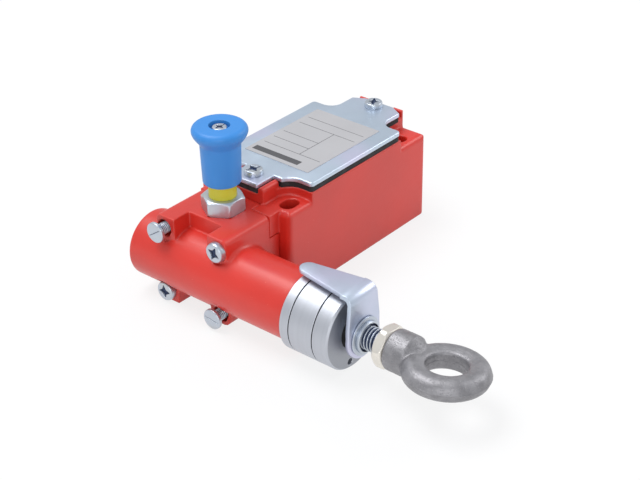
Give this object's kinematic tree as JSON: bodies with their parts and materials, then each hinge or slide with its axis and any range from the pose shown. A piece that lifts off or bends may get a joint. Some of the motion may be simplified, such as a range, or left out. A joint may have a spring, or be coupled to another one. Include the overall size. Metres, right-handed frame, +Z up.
{
  "type": "rope pull switch",
  "caption": "Metal safety switch with a sprung draw rod and rope eye leaving a barrel at one end, a pull-up reset knob, a sheet cover over a wiring chamber, and a threaded cable entry.",
  "frame": {"origin": "centre of the 30 x 60 mm fixing pattern, on the back mounting face", "axes": "+X is the way the rope pulls, out of the barrel to the eye; +Y runs along the body from the head to the cable entry; +Z points up from the back face to the cover and the knob"},
  "size_m": [0.1372, 0.1084, 0.0635],
  "materials": {
    "red_enamel": "satin red enamel on die casting",
    "black_rubber": "moulded sealing rubber",
    "zinc_sheet": "bright zinc plated sheet",
    "plated_steel": "nickel plated screws",
    "turned_alloy": "fine turned light alloy",
    "spring_steel": "drawn spring wire",
    "cast_iron": "rough sand cast, grey",
    "blue_plastic": "glossy moulded plastic",
    "yellow_plastic": "moulded plastic",
    "cream_plastic": "moulded insulating plastic",
    "brass": "stamped contact strip",
    "satin_foil": "bare satin foil with ruled lines only"
  },
  "bodies": {
    "housing": {"switch_body": "red_enamel", "cover_gasket": "black_rubber", "cover_plate": "zinc_sheet", "cover_screws": "plated_steel", "rating_label": "satin_foil", "contact_block": "cream_plastic", "block_screws": "plated_steel", "fixed_contacts": "brass", "wire_clamps": "zinc_sheet", "terminal_screws": "plated_steel", "earth_screw": "brass", "head_seal": "black_rubber", "rope_head": "red_enamel", "head_screws_cross": "plated_steel", "head_screws_slotted": "plated_steel", "barrel_cap": "turned_alloy", "rod_wiper": "black_rubber", "spring_seat": "zinc_sheet", "draw_spring": "spring_steel", "plunger_spring": "spring_steel", "reset_bush": "plated_steel", "indicator_sleeve": "yellow_plastic", "reset_spring": "spring_steel"},
    "draw_shaft": {"draw_rod": "plated_steel", "cam_spool": "cream_plastic", "spool_nut": "plated_steel", "pointer_plate": "zinc_sheet", "pointer_washer": "plated_steel", "lock_collar": "plated_steel", "jam_nut": "plated_steel", "rope_eye": "cast_iron"},
    "contact_slider": {"switch_plunger": "cream_plastic", "contact_bridge": "brass"},
    "reset_button": {"reset_knob": "blue_plastic", "knob_screw": "plated_steel", "reset_stem": "plated_steel"}
  },
  "joints": [
    {"name": "rope_pull", "type": "slide", "parent": "housing", "child": "draw_shaft", "axis": [1, 0, 0], "range_m": [0, 0.016], "stiffness_N_per_m": 2500, "springref_m": -0.004, "deforming": ["draw_spring"]},
    {"name": "plunger_push", "type": "slide", "parent": "housing", "child": "contact_slider", "axis": [0, 1, 0], "range_m": [0, 0.004], "stiffness_N_per_m": 300, "springref_m": -0.002, "deforming": ["plunger_spring"]},
    {"name": "reset_pull", "type": "slide", "parent": "housing", "child": "reset_button", "axis": [0, 0, 1], "range_m": [0, 0.004], "stiffness_N_per_m": 600, "springref_m": -0.003, "deforming": ["reset_spring"]}
  ],
  "couplings": [
    {"joint": "plunger_push", "follows": "rope_pull", "ratio": 0.25}
  ]
}
